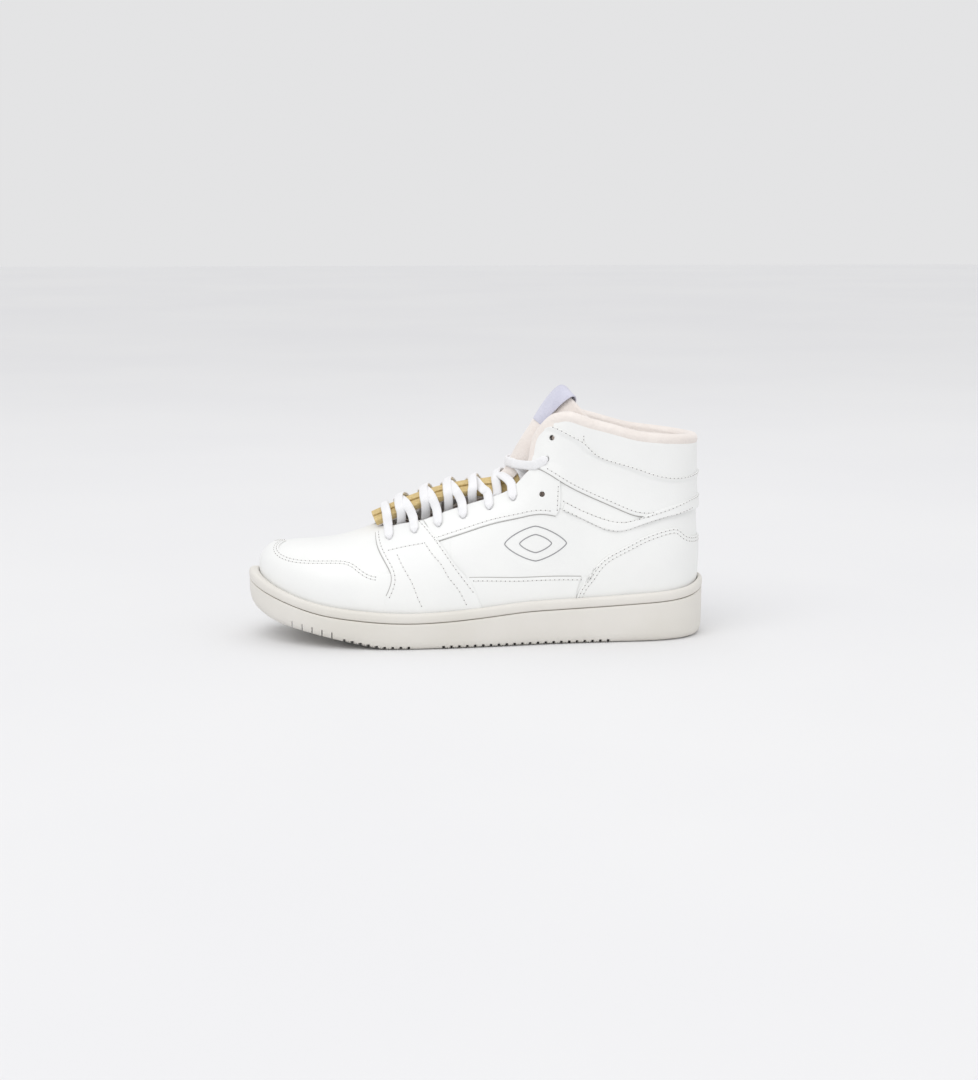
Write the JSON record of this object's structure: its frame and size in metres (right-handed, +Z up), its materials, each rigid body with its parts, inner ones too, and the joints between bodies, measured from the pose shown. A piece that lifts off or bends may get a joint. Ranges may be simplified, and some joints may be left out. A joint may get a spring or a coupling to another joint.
{
  "type": "basketball high top",
  "caption": "Left high-top court shoe with a layered leather upper, padded collar and tongue, laced throat and a one-piece rubber cupsole.",
  "frame": {"origin": "on the floor, under the middle of the shoe's box", "axes": "+X towards the heel, -X towards the toe, -Y towards the outer side, +Z up"},
  "size_m": [0.2975, 0.1112, 0.1624],
  "materials": {
    "white_leather": "coated white leather with a fine grain, satin",
    "lining": "brushed cream textile",
    "foam": "open-cell tan foam, matte",
    "board": "stiffened fibre board, matte",
    "rubber": "moulded off-white rubber, satin",
    "lace": "white braided polyester",
    "label": "pale lavender woven ribbon",
    "aglet": "clear film over white lace"
  },
  "bodies": {
    "shoe": {"aglet_lateral": "aglet", "aglet_medial": "aglet", "ankle_overlay_lateral": "white_leather", "ankle_overlay_medial": "white_leather", "collar_band": "white_leather", "collar_foam": "foam", "collar_lining": "lining", "eyelet_backer_lateral": "board", "eyelet_backer_medial": "board", "eyestay_lateral": "white_leather", "eyestay_medial": "white_leather", "foxing_lateral": "white_leather", "foxing_medial": "white_leather", "heel_counter": "board", "heel_overlay": "white_leather", "heel_strap": "white_leather", "instep_lining_lateral": "lining", "instep_lining_medial": "lining", "lace": "lace", "midsole_wedge": "foam", "outsole": "rubber", "quarter_lateral": "white_leather", "quarter_medial": "white_leather", "saddle_lateral": "white_leather", "saddle_medial": "white_leather", "strobel_board": "board", "toe_cap": "white_leather", "toe_puff": "board", "tongue_base_face": "white_leather", "tongue_base_foam": "foam", "tongue_base_lining": "lining", "vamp": "white_leather", "vamp_lining": "lining"},
    "tongue": {"tongue_flap_face": "white_leather", "tongue_flap_foam": "foam", "tongue_flap_lining": "lining", "tongue_label": "label"},
    "insole": {"sockliner": "lining"}
  },
  "joints": [
    {"name": "tongue_fold", "type": "hinge", "parent": "shoe", "child": "tongue", "pos_m": [0.023, 0, 0.119], "axis": [0, 1, 0], "range_deg": [-45, 4]},
    {"name": "sockliner_lift", "type": "hinge", "parent": "shoe", "child": "insole", "pos_m": [-0.1339, 0.006, 0.0304], "axis": [0, 1, 0], "range_deg": [-8, 0]}
  ]
}
